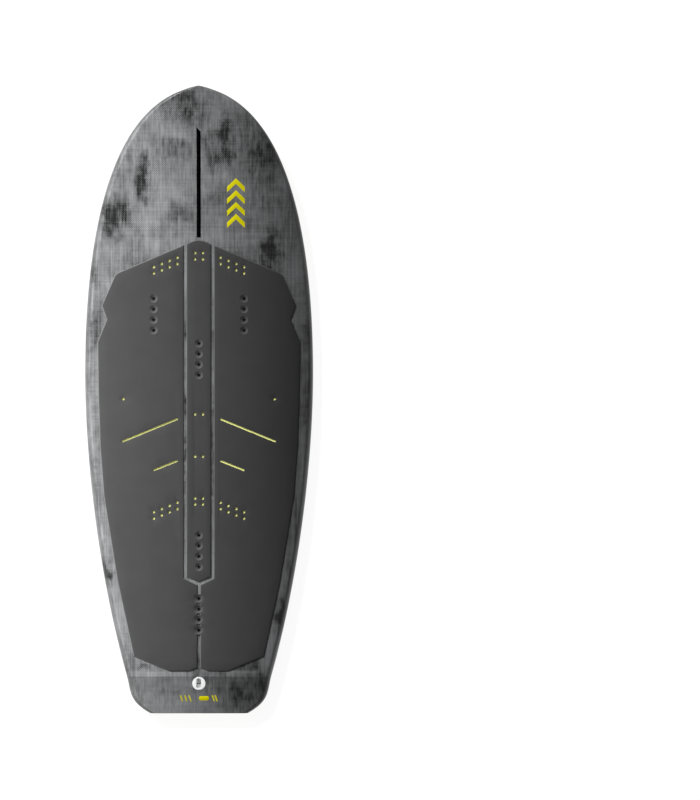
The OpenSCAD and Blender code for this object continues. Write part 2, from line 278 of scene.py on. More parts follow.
def panel(name, surface, rims, spacing, side=1):
    """A closed plate that follows surface(x, y). rims is a list of (loop, profile), the outer loop first. A
    profile runs from the edge of the outer face to the edge of the inner one, as [inset, height above
    surface]. side is 1 on the deck and -1 on the hull."""
    points, faces, ends = [], [], []
    for loop, profile in rims:
        rings = []
        for inset, height in profile:
            ring = offset(loop, inset)
            rings.append(range(len(points), len(points) + len(ring)))
            points += [(x, y, surface(x, y) + side * height) for x, y in ring]
        n = len(loop)
        for upper, lower in zip(rings, rings[1:]):
            faces += [(upper[i], lower[i], lower[(i + 1) % n], upper[(i + 1) % n]) for i in range(n)]
        ends.append((rings[0], rings[-1], profile[0], profile[-1], loop))
    for end, turn in ((0, 1), (1, -1)):
        plan, triangles = fill([offset(e[4], e[2 + end][0]) for e in ends], spacing)
        number = [i for e in ends for i in e[end]]
        height = ends[0][2 + end][1]
        for x, y in plan[len(number):]:
            number.append(len(points))
            points.append((x, y, surface(x, y) + side * height))
        faces += [tuple(number[i] for i in t)[::turn] for t in triangles]
    if side < 0:
        faces = [f[::-1] for f in faces]
    return new_piece(name, points, faces)


def millimetres(profile):
    """A profile that is given in mm, in metres."""
    return [(a * MM, b * MM) for a, b in profile]


def lathe(centre, profile, surface, turns=44):
    """Points and faces of a closed ring. profile is a closed outline of [radius, height above surface]."""
    n = len(profile)
    points = []
    for k in range(turns):
        a = 2 * math.pi * k / turns
        for r, h in profile:
            x, y = centre.x + r * math.cos(a), centre.y + r * math.sin(a)
            points.append((x, y, surface(x, y) + h))
    faces = []
    for k in range(turns):
        here, there = k * n, (k + 1) % turns * n
        faces += [(here + i, here + (i + 1) % n, there + (i + 1) % n, there + i) for i in range(n)]
    return points, faces


def upright_cylinders(name, places, radius, low, high):
    """Closed cylinders in one mesh, to cut with. places are points in plan."""
    bm = bmesh.new()
    for x, y in places:
        made = bmesh.ops.create_cone(
            bm, cap_ends=True, segments=48, radius1=radius, radius2=radius, depth=high - low)
        bmesh.ops.translate(bm, verts=made["verts"], vec=(x, y, (low + high) / 2))
    piece = new_piece(name, [], [])
    bm.to_mesh(piece.data)
    bm.free()
    return piece


def prisms(name, loops, low, high):
    """Closed prisms over outlines in plan, to cut with."""
    points, faces = [], []
    for loop in loops:
        first, n = len(points), len(loop)
        loop = turned(loop, 1)
        points += [(x, y, low) for x, y in loop] + [(x, y, high) for x, y in loop]
        faces += [tuple(range(first + n - 1, first - 1, -1)), tuple(range(first + n, first + 2 * n))]
        faces += [(first + i, first + (i + 1) % n, first + n + (i + 1) % n, first + n + i) for i in range(n)]
    return new_piece(name, points, faces)


def cut(piece, cutter):
    """Cuts a closed mesh out of a piece, and removes it."""
    modified(piece, "BOOLEAN", object=cutter, operation="DIFFERENCE", solver="EXACT")
    bpy.data.objects.remove(cutter)


# Faces that meet at less than FLAT_ANGLE are one, and an edge of more than EDGE_ANGLE is sharp, in degrees
FLAT_ANGLE = 1
EDGE_ANGLE = 40


def rounded_copy(name, node, width):
    """A copy of a CAD node with its sharp edges rounded."""
    bm = welded(node)
    bmesh.ops.dissolve_limit(bm, angle_limit=math.radians(FLAT_ANGLE), verts=bm.verts, edges=bm.edges)
    piece = new_piece(name, [], [])
    bm.to_mesh(piece.data)
    bm.free()
    edge = math.radians(EDGE_ANGLE)
    modified(piece, "BEVEL", width=width, segments=3, limit_method="ANGLE", angle_limit=edge)
    return smooth(piece, EDGE_ANGLE)


# ---------------------------------------------------------------- board surfaces

# A full section of the board is higher than this
STATION_HEIGHT = 20 * MM


def board_rows(node):
    """Rows [y, half width, apex z, deck z, hull z, band edge x] at the stations of a deck laminate."""
    points = cad_points(node)
    rows = []
    for y in np.unique(np.round(points[:, 1], 5)):
        ring = np.unique(np.round(points[abs(points[:, 1] - y) < 2e-5], 6), axis=0)
        if np.ptp(ring[:, 2]) < STATION_HEIGHT or (rows and y - rows[-1][0] < 1e-4):
            continue
        x, z = abs(ring[:, 0]), ring[:, 2]
        low = z < z.min() + 1e-4
        rows.append([y, x.max(), z[x > x.max() - 1e-5].mean(), z.max(), z.min(), x[low].max()])
    return np.array(rows)


def resampled(rows, spacing, fine=0.0):
    """Rows at even steps along a smooth curve through the given ones. The steps are a quarter as long over
    the first fine metres."""
    t = np.concatenate([[0], np.cumsum(np.linalg.norm(np.diff(rows[:, :2], axis=0), axis=1))])
    slope = np.gradient(rows, t, axis=0)
    at = np.linspace(fine, t[-1], max(3, round((t[-1] - fine) / spacing) + 1))
    at = np.concatenate([np.arange(0, fine - 1e-6, spacing / 4), at])
    i = np.clip(np.searchsorted(t, at, side="right") - 1, 0, len(t) - 2)
    step = (t[i + 1] - t[i])[:, None]
    u = (at - t[i])[:, None] / step
    return (
        (2 * u ** 3 - 3 * u ** 2 + 1) * rows[i] + (u ** 3 - 2 * u ** 2 + u) * step * slope[i]
        + (3 * u ** 2 - 2 * u ** 3) * rows[i + 1] + (u ** 3 - u ** 2) * step * slope[i + 1]
    )


def half_section(row):
    """[x, z] from the band's inner edge round the rail to the centre of the deck."""
    _, half, apex, deck, hull, edge = row
    shoulder = min(RAIL_SHOULDER, SHOULDER_LIMIT * half)
    crown = DECK_CROWN / BOARD_HALF ** 2
    top = deck - crown * (half - shoulder) ** 2
    start = np.array([edge, hull])
    bend = np.array([half, hull + BEND_SHARE * (apex - hull)])
    end = np.array([half, apex])
    knee = start + KNEE_SHARE * (bend - start)
    line = [start + u * (knee - start) for u in (0, 0.35, 0.7)]
    line += [(1 - u) ** 2 * knee + 2 * u * (1 - u) * bend + u ** 2 * end for u in np.linspace(0, 1, 6)]
    for a in np.linspace(0, math.pi / 2, 11)[1:]:
        line.append([half - shoulder * (1 - math.cos(a)), apex + (top - apex) * math.sin(a)])
    for u in np.linspace(1, 0, 22)[1:]:
        x = (half - shoulder) * u
        line.append([x, deck - crown * x ** 2])
    return np.array(line)


def deck_ring(row):
    """The whole section of the deck laminate at a station, from one band to the other."""
    half = half_section(row)
    mirrored = half[-2::-1] * [-1, 1]
    return [(x, row[0], z) for x, z in np.concatenate([half, mirrored])]


def hull_ring(row):
    """The flat section of the hull at a station."""
    return [(row[5] * u, row[0], row[4]) for u in np.linspace(-1, 1, 41)]


def lofted(rings):
    """Points and quads through rings of equal length. The quads face out of the board."""
    n = len(rings[0])
    quads = [
        (j * n + i, (j + 1) * n + i, (j + 1) * n + i + 1, j * n + i + 1)
        for j in range(len(rings) - 1) for i in range(n - 1)
    ]
    return [p for ring in rings for p in ring], quads


def surface_tree(*parts):
    """A tree to find heights on, from several (points, quads)."""
    points, quads = [], []
    for p, q in parts:
        quads += [tuple(i + len(points) for i in face) for face in q]
        points += p
    return BVHTree.FromPolygons([Vector(p) for p in points], quads)


def height_on(tree, side):
    """A function of x and y that gives the height of the board's upper (1) or lower (-1) surface."""
    def height(x, y):
        for shift in (0, 1e-5, -1e-5, 2e-4, -2e-4):
            hit = tree.ray_cast(Vector((x + shift, y + shift, side)), Vector((0, 0, -side)))
            if hit[0] is not None:
                return hit[0].z
        raise ValueError(f"nothing above or below {x:.4f}, {y:.4f}")
    return height


main_rows = board_rows("deck_skin")
tail_rows = board_rows("deck_tail_patch")
main_rows = main_rows[main_rows[:, 0] < tail_rows[0, 0] + 1e-6]
MAIN = resampled(main_rows, MAIN_STEP, NOSE_LENGTH)
TAIL = resampled(tail_rows, TAIL_STEP)
DECK_PARTS = lofted([deck_ring(r) for r in MAIN]), lofted([deck_ring(r) for r in TAIL])
HULL_PARTS = lofted([hull_ring(r) for r in MAIN]), lofted([hull_ring(r) for r in TAIL])
deck_height = height_on(surface_tree(*DECK_PARTS), 1)
hull_height = height_on(surface_tree(*HULL_PARTS), -1)


# ---------------------------------------------------------------- materials

def add(tree, kind, values=None, **settings):
    """A shader node. values maps its inputs to numbers, colours or the outputs of other nodes."""
    made = tree.nodes.new(kind)
    for name, value in settings.items():
        setattr(made, name, value)
    for name, value in (values or {}).items():
        if isinstance(value, bpy.types.NodeSocket):
            tree.links.new(value, made.inputs[name])
        else:
            made.inputs[name].default_value = value
    return made


def maths(tree, operation, a, b=0.0, clamp=False):
    return add(tree, "ShaderNodeMath", {0: a, 1: b}, operation=operation, use_clamp=clamp).outputs[0]


def remap(tree, value, low, high, to_low, to_high, shape="LINEAR"):
    values = {"Value": value, "From Min": low, "From Max": high, "To Min": to_low, "To Max": to_high}
    return add(tree, "ShaderNodeMapRange", values, interpolation_type=shape).outputs[0]


def scaled(tree, vector, scale, location=(0, 0, 0), rotation=(0, 0, 0), kind="POINT"):
    values = {"Vector": vector, "Scale": scale, "Location": location, "Rotation": rotation}
    return add(tree, "ShaderNodeMapping", values, vector_type=kind).outputs[0]


def noise(tree, vector, scale, detail, roughness):
    values = {"Vector": vector, "Scale": scale, "Detail": detail, "Roughness": roughness}
    return add(tree, "ShaderNodeTexNoise", values).outputs["Fac"]


def mixed(tree, share, a, b):
    """A colour between a and b."""
    made = add(tree, "ShaderNodeMix", data_type="RGBA")
    for index, value in ((0, share), (6, a), (7, b)):
        if isinstance(value, bpy.types.NodeSocket):
            tree.links.new(value, made.inputs[index])
        else:
            made.inputs[index].default_value = value
    return made.outputs[2]


def bump(tree, height, distance, strength=1.0):
    values = {"Height": height, "Distance": distance, "Strength": strength}
    return add(tree, "ShaderNodeBump", values).outputs[0]


def rgb(r, g, b):
    return (r, g, b, 1.0)


def new_material(name, **sockets):
    """A material, its tree and its shader. sockets sets the shader's plain values."""
    made = bpy.data.materials.new(name)
    made.use_nodes = True
    shader = made.node_tree.nodes["Principled BSDF"]
    for socket, value in sockets.items():
        shader.inputs[socket.replace("_", " ")].default_value = value
    return made, made.node_tree, shader


def object_place(tree):
    return add(tree, "ShaderNodeTexCoord").outputs["Object"]


# Smoke marks, in mm, as seen with the nose up: to the right of the centre line and up from
# the tail, then the half width, the half length, the turn in degrees and the strength.
SMOKE_NOSE = [
    (-50, 1408, 30, 18, 0, 0.25), (-44, 1338, 46, 24, 0, 0.62), (67, 1358, 15, 60, -4, 1.05),
    (42, 1335, 30, 44, 0, 0.8), (156, 1330, 46, 60, 25, 0.85), (-132, 1262, 16, 50, 6, 1.0),
    (-198, 1180, 30, 48, 6, 1.15), (-30, 1178, 44, 22, 15, 0.6), (168, 1270, 26, 36, 0, 0.7),
    (190, 1200, 40, 30, 0, 0.5), (170, 1098, 22, 56, 5, 1.1), (-60, 1290, 60, 30, 20, 0.35),
    (110, 1380, 60, 50, 30, 0.5), (215, 1150, 26, 90, 0, 0.4), (-90, 1150, 40, 20, 0, 0.35),
    (110, 1150, 60, 22, 0, 0.4), (-165, 1320, 14, 30, 20, 0.4),
]
SMOKE_AND_SHADE_ON_DECK = [
    (-250, 1050, 14, 60, 0, 0.6), (-236, 910, 20, 40, 0, 0.35), (-262, 800, 12, 50, 0, 0.5),
    (262, 900, 20, 46, 0, 0.7), (-220, 335, 14, 34, 0, 1.1), (200, 228, 16, 40, 0, 1.2),
    (214, 330, 16, 90, 0, 0.55), (-136, 108, 26, 12, 0, 0.6), (-80, 112, 18, 12, 0, 0.5),
    (112, 108, 34, 22, 0, 0.8), (105, 50, 62, 40, 0, 0.8), (150, 70, 26, 30, 0, 0.7),
    (-60, 52, 50, 12, 5, 0.3), (60, 96, 20, 14, 0, 0.5), (-150, 1010, 20, 40, 0, 0.4),
    # The two marks along the grooves between the pads darken the laminate there: painted shade.
    (-31, 620, 9, 200, 0, 0.75), (31, 620, 9, 200, 0, 0.75),
]
SMOKE_HULL = [
    (-150, 1010, 70, 30, 0, 0.45), (-70, 995, 36, 26, 0, 0.4), (-172, 930, 34, 44, 0, 0.9),
    (-150, 872, 34, 30, 0, 0.6), (-104, 815, 22, 22, 0, 1.1), (-205, 790, 46, 46, 0, 0.7),
    (-180, 712, 32, 26, 0, 1.0), (-112, 760, 14, 16, 0, 0.5), (34, 955, 32, 26, 0, 0.5),
    (66, 935, 18, 16, 0, 0.5), (152, 1005, 20, 40, -32, 1.3), (170, 925, 16, 18, 0, 0.6),
    (222, 895, 6, 32, 12, 0.6), (150, 745, 11, 34, 22, 0.75), (112, 730, 10, 26, 12, 0.6),
    (-192, 548, 34, 30, -25, 1.25), (130, 545, 22, 26, 0, 0.7), (138, 440, 18, 32, 0, 0.5),
    (6, 450, 22, 18, 0, 0.45), (-85, 275, 11, 42, -6, 0.7), (128, 322, 26, 24, 0, 0.6),
    (144, 222, 24, 18, 0, 0.75), (62, 185, 26, 24, 0, 0.85), (-12, 174, 20, 18, 0, 0.75),
    (-134, 128, 12, 34, -6, 0.75), (-230, 620, 20, 120, 0, 0.5), (-180, 840, 74, 140, 0, 0.62),
]

# How far a mark fades out, as a multiple of its size, and the range over which the smoke drifts, in mm
SOFT_EDGE = 2.1
DRIFT = (75, 95, 0)


def smoke_group(name, marks):
    """A node group: Vector in, as mm to the right and up from the tail, and Smoke out, from 0 to 1."""
    tree = bpy.data.node_groups.new(name, "ShaderNodeTree")
    tree.interface.new_socket("Vector", in_out="INPUT", socket_type="NodeSocketVector")
    tree.interface.new_socket("Smoke", in_out="OUTPUT", socket_type="NodeSocketFloat")
    place = add(tree, "NodeGroupInput").outputs[0]
    values = {"Vector": place, "Scale": 0.021, "Detail": 4.0, "Roughness": 0.62}
    drift = add(tree, "ShaderNodeTexNoise", values).outputs["Color"]
    values = {0: drift, 1: (0.5, 0.5, 0.5)}
    drift = add(tree, "ShaderNodeVectorMath", values, operation="SUBTRACT").outputs[0]
    drift = scaled(tree, drift, DRIFT)
    warped = add(tree, "ShaderNodeVectorMath", {0: place, 1: drift}, operation="ADD").outputs[0]
    total = 0.0
    for across, up, half_across, half_up, turn, strength in marks:
        size = (SOFT_EDGE * half_across, SOFT_EDGE * half_up, 1e5)
        local = scaled(tree, warped, size, (across, up, 0), (0, 0, math.radians(-turn)), "TEXTURE")
        away = add(tree, "ShaderNodeVectorMath", {0: local}, operation="LENGTH").outputs["Value"]
        mark = remap(tree, away, 0.0, 1.0, strength, 0.0, "SMOOTHSTEP")
        total = maths(tree, "MAXIMUM", total, mark)
    haze = noise(tree, scaled(tree, place, (1, 0.8, 1)), 0.0085, 5.0, 0.62)
    total = maths(tree, "MAXIMUM", total, remap(tree, haze, 0.4, 0.7, 0.0, 0.8))
    grain = noise(tree, scaled(tree, place, (1.3, 0.6, 1)), 0.055, 4.0, 0.6)
    total = maths(tree, "MULTIPLY", total, remap(tree, grain, 0.3, 0.7, 0.6, 1.4))
    total = remap(tree, total, 0.05, 1.0, 0.0, 1.0)
    tree.links.new(total, add(tree, "NodeGroupOutput").inputs[0])
    return tree


# Two yarns side by side, in mm
YARN_PAIR = 4.8


def weave_group():
    """A node group: Vector in, in mm, and Weave out, mostly from -1 to 1. It holds streaks along the yarns
    both ways and a fine check where they cross."""
    tree = bpy.data.node_groups.new("weave", "ShaderNodeTree")
    tree.interface.new_socket("Vector", in_out="INPUT", socket_type="NodeSocketVector")
    tree.interface.new_socket("Weave", in_out="OUTPUT", socket_type="NodeSocketFloat")
    place = add(tree, "NodeGroupInput").outputs[0]
    warp = noise(tree, scaled(tree, place, (1, 0.02, 1)), 0.24, 3.0, 0.7)
    weft = noise(tree, scaled(tree, place, (0.02, 1, 1)), 0.24, 3.0, 0.7)
    split = add(tree, "ShaderNodeSeparateXYZ", {0: place})
    turns = 2 * math.pi / YARN_PAIR
    cross = [maths(tree, "SINE", maths(tree, "MULTIPLY", split.outputs[k], turns)) for k in (0, 1)]
    check = maths(tree, "MULTIPLY", cross[0], cross[1])
    warp = remap(tree, warp, 0.3, 0.7, -0.85, 0.85)
    weft = remap(tree, weft, 0.3, 0.7, -0.38, 0.38)
    total = maths(tree, "ADD", maths(tree, "ADD", warp, weft), maths(tree, "MULTIPLY", check, 0.6))
    tree.links.new(total, add(tree, "NodeGroupOutput").inputs[0])
    return tree


SMOKE_AND_SHADE_GROUP = smoke_group("smoke_and_shade_on_deck", SMOKE_NOSE + SMOKE_AND_SHADE_ON_DECK)
HULL_SMOKE = smoke_group("hull_smoke", SMOKE_NOSE + SMOKE_HULL)
WEAVE_GROUP = weave_group()


def faded(tree, right, left, reach=1.0, shape="LINEAR"):
    """A gain that runs across the board from right, at the rider's right rail, to left, at the share reach
    of the way out to the left rail."""
    across = add(tree, "ShaderNodeSeparateXYZ", {0: object_place(tree)}).outputs[0]
    return remap(tree, across, -BOARD_HALF, reach * BOARD_HALF, right, left, shape)


def dimmed(tree, colour, gain):
    """The colour times a gain."""
    made = add(tree, "ShaderNodeVectorMath", {0: colour}, operation="SCALE")
    tree.links.new(gain, made.inputs["Scale"])
    return made.outputs[0]


def levelled(tree):
    """How far a surface faces up, from 1 on a flat deck to 0 on an upright edge and -1 below."""
    normal = add(tree, "ShaderNodeNewGeometry").outputs["Normal"]
    return add(tree, "ShaderNodeSeparateXYZ", {0: normal}).outputs[2]


# The gain of the painted shade on the upper half of the rail, and how much lighter the painted highlight on
# the line above it is
RAIL_SHADE = 0.65
RAIL_HIGHLIGHT = 0.2


def painted_rail_light(tree):
    """A gain that paints shade on the upper half of the rail, and a painted highlight on a thin line where
    the deck turns over into it."""
    level = levelled(tree)
    rise = remap(tree, level, 0.91, 0.95, 0, RAIL_HIGHLIGHT)
    line = maths(tree, "MULTIPLY", rise, remap(tree, level, 0.97, 0.99, 1, 0))
    above = remap(tree, level, 0.72, 0.92, RAIL_SHADE, 1.0)
    below = remap(tree, level, -0.3, 0.1, 1.0, RAIL_SHADE)
    return maths(tree, "ADD", maths(tree, "MAXIMUM", above, below), line)


def grouped(tree, group, place):
    """The output of a node group at a place."""
    made = add(tree, "ShaderNodeGroup", node_tree=group)
    tree.links.new(place, made.inputs[0])
    return made.outputs[0]


def laminate(name, light, dark, mirrored, streak, fade=None):
    """Clear-coated woven laminate with a smoke pattern. mirrored is -1 on the deck, where right is -X, and 1
    on the hull. streak is how much the yarns vary, and fade the gain at the rider's right and left rails."""
    made, tree, shader = new_material(
        name, Roughness=0.42, Coat_Weight=0.12, Coat_Roughness=0.16, Specular_IOR_Level=0.25)
    place = scaled(tree, object_place(tree), (mirrored / MM, -1 / MM, 1 / MM), (0, TAIL_Y / MM, 0))
    smoke = grouped(tree, SMOKE_AND_SHADE_GROUP if mirrored < 0 else HULL_SMOKE, place)
    weave = grouped(tree, WEAVE_GROUP, place)
    share = maths(tree, "MULTIPLY", smoke, remap(tree, weave, -1, 1, 1.35, 0.65), clamp=True)
    colour = mixed(tree, share, light, dark)
    gain = add(tree, "ShaderNodeMath", {0: weave, 1: streak, 2: 1.0}, operation="MULTIPLY_ADD").outputs[0]
    if fade:
        gain = maths(tree, "MULTIPLY", gain, faded(tree, *fade, 0.75, "SMOOTHSTEP"))
        # Painted shade on the upper half of the rail and a painted highlight on the line above it
        gain = maths(tree, "MULTIPLY", gain, painted_rail_light(tree))
    tree.links.new(dimmed(tree, colour, gain), shader.inputs["Base Color"])
    tree.links.new(remap(tree, weave, -1, 1, 0.36, 0.5), shader.inputs["Roughness"])
    tree.links.new(bump(tree, weave, 0.05 * MM, 0.6), shader.inputs["Normal"])
    return made


def grained(name, colour, scale, spread, depth, fade=None, edge_highlight=0.0, **sockets):
    """A moulded, foamed or coated material. A grain of that scale varies its colour by the share spread, its
    roughness, and its surface by depth. edge_highlight paints a highlight on the rounded and sloping edges,
    lightening them by that share."""
    made, tree, shader = new_material(name, **sockets)
    place = object_place(tree)
    grain = noise(tree, place, scale, 3.0, 0.6)
    cloud = noise(tree, place, scale / 40, 2.0, 0.5)
    both = maths(tree, "ADD", maths(tree, "MULTIPLY", grain, 0.6), maths(tree, "MULTIPLY", cloud, 0.4))
    dark = rgb(*(c * (1 - spread) for c in colour))
    light = rgb(*(c * (1 + spread) for c in colour))
    tint = mixed(tree, remap(tree, both, 0.3, 0.7, 0, 1), dark, light)
    # Painted light and shade: a gain across the board, lighter toward the rider's left and darker toward the
    # right
    if fade:
        tint = dimmed(tree, tint, faded(tree, *fade))
    # Painted highlight: the sloping and upright faces are lightened, the more the steeper they are
    if edge_highlight:
        tint = dimmed(tree, tint, remap(tree, levelled(tree), 0.4, 0.96, 1 + edge_highlight, 1.0))
    tree.links.new(tint, shader.inputs["Base Color"])
    rough = shader.inputs["Roughness"].default_value
    tree.links.new(remap(tree, grain, 0.3, 0.7, rough - 0.06, rough + 0.06), shader.inputs["Roughness"])
    tree.links.new(bump(tree, grain, depth), shader.inputs["Normal"])
    return made


def carbon(name):
    """Black carbon tape: fine straight fibres along the board under clear coat."""
    made, tree, shader = new_material(name, Roughness=0.25, Specular_IOR_Level=0.08)
    place = scaled(tree, object_place(tree), (1, 0.03, 1))
    fibre = noise(tree, place, 1600, 2.0, 0.6)
    colour = mixed(tree, fibre, rgb(0.0001, 0.0001, 0.0001), rgb(0.0008, 0.0008, 0.0008))
    tree.links.new(colour, shader.inputs["Base Color"])
    tree.links.new(remap(tree, fibre, 0.3, 0.7, 0.2, 0.3), shader.inputs["Roughness"])
    tree.links.new(bump(tree, fibre, 0.003 * MM), shader.inputs["Normal"])
    return made


def wood(name):
    """Bare wood with its rings along the board."""
    made, tree, shader = new_material(name, Roughness=0.6)
    place = scaled(tree, object_place(tree), (1, 0.06, 1))
    ring = noise(tree, place, 240, 4.0, 0.6)
    colour = mixed(tree, ring, rgb(0.42, 0.27, 0.14), rgb(0.66, 0.48, 0.28))
    tree.links.new(colour, shader.inputs["Base Color"])
    tree.links.new(bump(tree, ring, 0.1 * MM), shader.inputs["Normal"])
    return made


DECK = laminate(
    "deck_laminate", rgb(0.24, 0.245, 0.249), rgb(0.016, 0.016, 0.016), -1, 0.3, fade=(0.31, 1.38))
DECK_PATCH = laminate(
    "patch_laminate", rgb(0.17, 0.174, 0.176), rgb(0.014, 0.014, 0.014), -1, 0.28, fade=(0.2, 1.45))
HULL = laminate("hull_laminate", rgb(0.74, 0.675, 0.0), rgb(0.045, 0.034, 0.002), 1, 0.2)
HULL_PATCH = laminate("hull_patch_laminate", rgb(0.66, 0.6, 0.0), rgb(0.04, 0.03, 0.002), 1, 0.2)
CARBON = carbon("carbon")
WOOD = wood("web_wood")

# Pads
# The upper pad layer is lighter toward the rider's left and darker toward the right: painted light and shade,
# as if lit from the left.
EVA = grained(
    "pad_upper", (0.052, 0.052, 0.052), 900, 0.1, 0.08 * MM, fade=(0.16, 1.84), edge_highlight=2.6,
    Roughness=0.85, Specular_IOR_Level=0.2)
EVA_LOWER = grained(
    "pad_lower", (0.86, 0.87, 0.3), 900, 0.1, 0.08 * MM, Roughness=0.8, Specular_IOR_Level=0.25)

# Plastics
PLUG = grained("plug_plastic", (0.9, 0.91, 0.91), 700, 0.03, 0.02 * MM, Roughness=0.38)
BLACK = grained(
    "bush_plastic", (0.004, 0.004, 0.004), 1500, 0.2, 0.03 * MM, Roughness=0.5, Specular_IOR_Level=0.25)
TRACK = grained(
    "track_plastic", (0.002, 0.002, 0.002), 1500, 0.2, 0.03 * MM, Roughness=0.5, Specular_IOR_Level=0.2)
BLOCK = grained("insert_plastic", (0.05, 0.05, 0.05), 500, 0.15, 0.2 * MM, Roughness=0.8)

# Metals
NUT = grained(
    "nut_metal", (0.035, 0.035, 0.037), 2200, 0.15, 0.02 * MM, Roughness=0.38, Metallic=0.9)
STEEL = grained(
    "plug_bar", (0.12, 0.12, 0.125), 2200, 0.1, 0.02 * MM, Roughness=0.35, Metallic=0.9)

# Foams
BLOCK_FOAM = grained("block_foam", (0.62, 0.54, 0.38), 420, 0.08, 0.3 * MM, Roughness=0.9)
FOAM = grained("core_foam", (0.86, 0.85, 0.80), 300, 0.05, 0.4 * MM, Roughness=0.9)

# Printed marks
DECAL_YELLOW = grained(
    "decal_yellow", (0.55, 0.5, 0.0), 1200, 0.05, 0.01 * MM, Roughness=0.6, Specular_IOR_Level=0.1)
DECAL_GREY = grained(
    "decal_grey", (0.27, 0.27, 0.275), 1200, 0.05, 0.01 * MM, Roughness=0.6, Specular_IOR_Level=0.1)


# ---------------------------------------------------------------- laminates

INSERT_GROUPS = ["front_left", "front_right", "front_centre", "middle", "rear"]
INSERTS = {g: [(low + high) / 2 for low, high in islands(g + "_bushes")] for g in INSERT_GROUPS}
BUSH_LOW, BUSH_HIGH = islands("middle_bushes")[0]
FLANGE_RADIUS = (BUSH_HIGH.x - BUSH_LOW.x) / 2
DECK_RING = 2 * len(half_section(MAIN[0])) - 1

# The slots of the tracks lie further than this from the centre line
TRACK_SIDE = 20 * MM


def shell(name, part, cap=None):
    """A laminate skin: the outer surface, a flat cap on its first ring (0) or its last (-1), and its
    thickness inwards."""
    points, quads = part
    ring = {0: range(DECK_RING), -1: range(len(points) - 1, len(points) - 1 - DECK_RING, -1)}
    faces = quads + ([tuple(ring[cap])] if cap is not None else [])
    piece = new_piece(name, points, faces)
    return modified(piece, "SOLIDIFY", thickness=LAMINATE, offset=-1, use_even_offset=True)


def build_laminates():
    """The skins of the deck and hull and the reinforcing patches on the tail."""
    deck = shell("deck_laminate", DECK_PARTS[0], cap=0)
    places = [(c.x, c.y) for group in INSERTS.values() for c in group]
    cut(deck, upright_cylinders("holes", places, FLANGE_RADIUS, *DRILL))
    finished(smooth(deck), "board", "deck_laminate", DECK, "deck_skin")

    patch = shell("deck_tail_laminate", DECK_PARTS[1], cap=-1)
    low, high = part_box("leash_cup")
    cut(patch, upright_cylinders("hole", [((low + high) / 2).xy], (high.x - low.x) / 2, *DRILL))
    finished(smooth(patch), "board", "patch_laminate", DECK_PATCH, "deck_tail_patch")

    hull = shell("hull_laminate", HULL_PARTS[0])
    slots = [p for p in face_loops("hull_skin", -1)[1:] if abs(p[:, 0]).min() > TRACK_SIDE]
    cut(hull, prisms("slots", slots, *SLOT))
    finished(smooth(hull), "board", "hull_laminate", HULL, "hull_skin")

    patch = shell("hull_tail_laminate", HULL_PARTS[1])
    finished(smooth(patch), "board", "hull_patch_laminate", HULL_PATCH, "hull_tail_patch")


# Rim of a carbon strip, in mm, as [inset, height above the laminate]
STRIP_RIM = [(0.25, 0.1), (0.05, 0.06), (0, 0), (0, -0.4)]


def strip(name, node, surface, side):
    """A carbon strip: a thin plate that stands just proud of the laminate."""
    rim = (face_loops(node, side)[0], millimetres(STRIP_RIM))
    piece = panel(name, surface, [rim], STRIP_GRID, side)
    finished(smooth(piece), "board", "carbon", CARBON, node)


# ---------------------------------------------------------------- pads

# Rims of an upper pad piece, in mm, as [inset, height above the deck]: round its outside, round an insert
# and round a small hole or line
OUTER_RIM = [(2.4, 4.5), (1.9, 4.35), (0.5, 3.0), (0.15, 2.4), (0, 1.7), (0, 0.1), (3.2, 0.1), (3.2, 1.5)]
INSERT_RIM = [(0, 4.5), (0, 0.1), (0.6, 0.1), (0.6, 1.5)]
SMALL_RIM = [(0.35, 4.5), (0.1, 4.4), (0, 4.15), (0, 1.5)]

# Section of the dish round an insert, in mm, as [radius, height above the deck]
DISH = [
    (10.4, 0.15), (10.4, 4.35), (10.2, 4.55), (9.9, 4.5), (9.5, 4.25), (5.7, 0.9), (5.1, 0.6), (3.3, 0.55),
    (3.3, 0.15),
]

# Least and greatest width of the holes round the inserts
INSERT_HOLE = (15 * MM, 25 * MM)


def is_insert(loop):
    """True for the outline of a hole round an insert."""
    size = np.ptp(loop, axis=0)
    return min(size) > INSERT_HOLE[0] and max(size) < INSERT_HOLE[1]


def pad_rims(loops):
    """The loops of an upper pad piece, each with its rim."""
    chosen = [(loops[0], OUTER_RIM)]
    for loop in loops[1:]:
        chosen.append((loop, INSERT_RIM if is_insert(loop) else SMALL_RIM))
    return [(loop, millimetres(profile)) for loop, profile in chosen]


def build_pad(side_name, group_names):
    """An upper pad piece with the dishes of its groups of inserts, and the pad layer under it."""
    upper, lower = side_name + "_pad_top", side_name + "_pad_base"
    loops = face_loops(upper, 1)
    top = panel(side_name + "_top", deck_height, pad_rims(loops), PAD_GRID)
    dishes = [dish(f"{g}_dish", c) for g in group_names for c in INSERTS[g]]
    pad = joined(side_name + "_pad", [top] + dishes)
    finished(smooth(pad, 32), "board", "pad_upper", EVA, upper)

    loops = face_loops(lower, 1)
    heights = (PAD_SPLIT - PAD_GAP, PAD_LOW)
    outside = [(PAD_LIP, h) for h in heights]
    at_hole = [(PAD_HOLE_GAP, h) for h in heights]
    rims = [(loops[0], outside)] + [(loop, at_hole) for loop in loops[1:]]
    layer = panel(side_name + "_pad_layer", deck_height, rims, PAD_GRID)
    finished(smooth(layer), "board", "pad_lower", EVA_LOWER, lower)


def dish(name, centre):
    """The conical dish that the pad makes round an insert."""
    points, faces = lathe(centre, millimetres(DISH), deck_height)
    return new_piece(name, points, [f[::-1] for f in faces])


